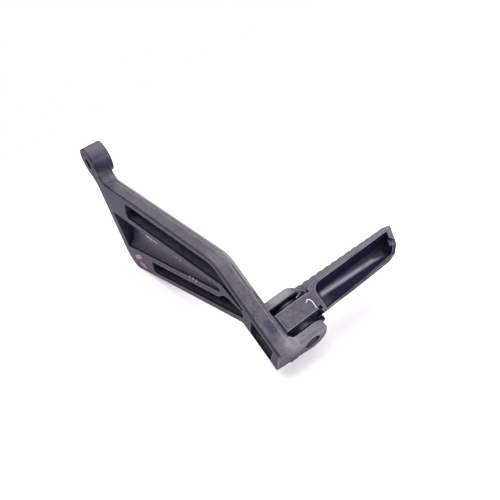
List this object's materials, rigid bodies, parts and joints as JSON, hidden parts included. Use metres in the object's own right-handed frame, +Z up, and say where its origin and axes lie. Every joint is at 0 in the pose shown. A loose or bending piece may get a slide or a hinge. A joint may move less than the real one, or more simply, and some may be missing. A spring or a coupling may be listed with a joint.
{
  "type": "motorcycle footrest hanger",
  "caption": "Cast hanger plate that bolts to a motorcycle frame and carries a folding passenger footrest on a pinned clevis.",
  "frame": {"origin": "centre of the upper fixing bore on the inboard face of its boss", "axes": "+X along the arm towards the footrest, +Y outboard, +Z up with the arm lying on its long lower edge"},
  "size_m": [0.292, 0.1215, 0.116],
  "materials": {
    "painted_arm": "satin black paint, worn at the edges",
    "painted_footrest": "satin black paint, scuffed on the tread",
    "pin_steel": "plated steel, dulled",
    "clip_steel": "blackened spring steel",
    "plate_steel": "zinc plated, greasy",
    "spring_steel": "oiled spring steel",
    "ball_steel": "hardened, polished"
  },
  "bodies": {
    "hanger": {"hanger": "painted_arm", "pivot_pin": "pin_steel", "pivot_clip": "clip_steel", "detent_plate": "plate_steel", "disc_spring": "spring_steel"},
    "footrest": {"footrest": "painted_footrest", "detent_ball": "ball_steel", "detent_spring": "spring_steel"}
  },
  "joints": [
    {"name": "footrest_fold", "type": "hinge", "parent": "hanger", "child": "footrest", "pos_m": [0.25537, 0.02713, -0.07613], "axis": [-0.7291, -0.0785, 0.6799], "range_deg": [0, 85]}
  ]
}
